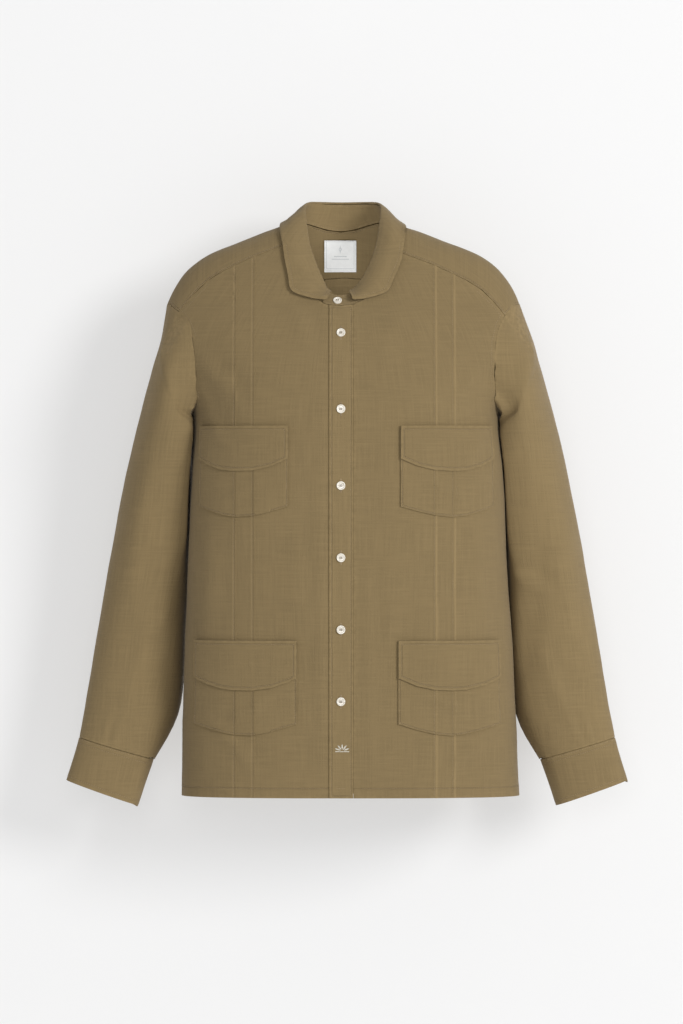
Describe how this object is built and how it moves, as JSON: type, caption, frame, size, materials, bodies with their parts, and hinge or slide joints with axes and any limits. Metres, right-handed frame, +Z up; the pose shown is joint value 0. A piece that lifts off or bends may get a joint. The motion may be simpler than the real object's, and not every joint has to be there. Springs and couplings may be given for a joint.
{
  "type": "guayabera shirt",
  "caption": "Long-sleeved linen guayabera shirt, buttoned and filled out as when worn, with a turned-down collar, patch pockets with flaps and upright tucks.",
  "frame": {"origin": "middle of the neck, level with the back neck seam, where the shirt hangs on its wearer's shoulders", "axes": "+Z up, +X towards the wearer's left, -Y the way the wearer faces"},
  "size_m": [0.748, 0.2475, 0.8059],
  "materials": {
    "linen": "matte plain-weave linen, khaki brown",
    "shell_button": "polished pearl-white",
    "label": "smooth woven label cloth, off-white",
    "thread": "satin embroidery thread, cream"
  },
  "bodies": {
    "root": {"front_left": "linen", "front_right": "linen", "placket": "linen", "back": "linen", "yoke": "linen", "collar_stand": "linen", "collar_leaf": "linen", "sleeve_left": "linen", "sleeve_right": "linen", "cuff_left": "linen", "cuff_right": "linen", "sleeve_vent_left": "linen", "sleeve_vent_right": "linen", "pocket_chest_left": "linen", "pocket_chest_right": "linen", "pocket_hip_left": "linen", "pocket_hip_right": "linen", "flap_chest_left": "linen", "flap_chest_right": "linen", "flap_hip_left": "linen", "flap_hip_right": "linen", "button_collar": "shell_button", "button_1": "shell_button", "button_2": "shell_button", "button_3": "shell_button", "button_4": "shell_button", "button_5": "shell_button", "button_6": "shell_button", "button_cuff_left": "shell_button", "button_cuff_right": "shell_button", "label": "label", "sprig_embroidery": "thread"}
  },
  "joints": []
}
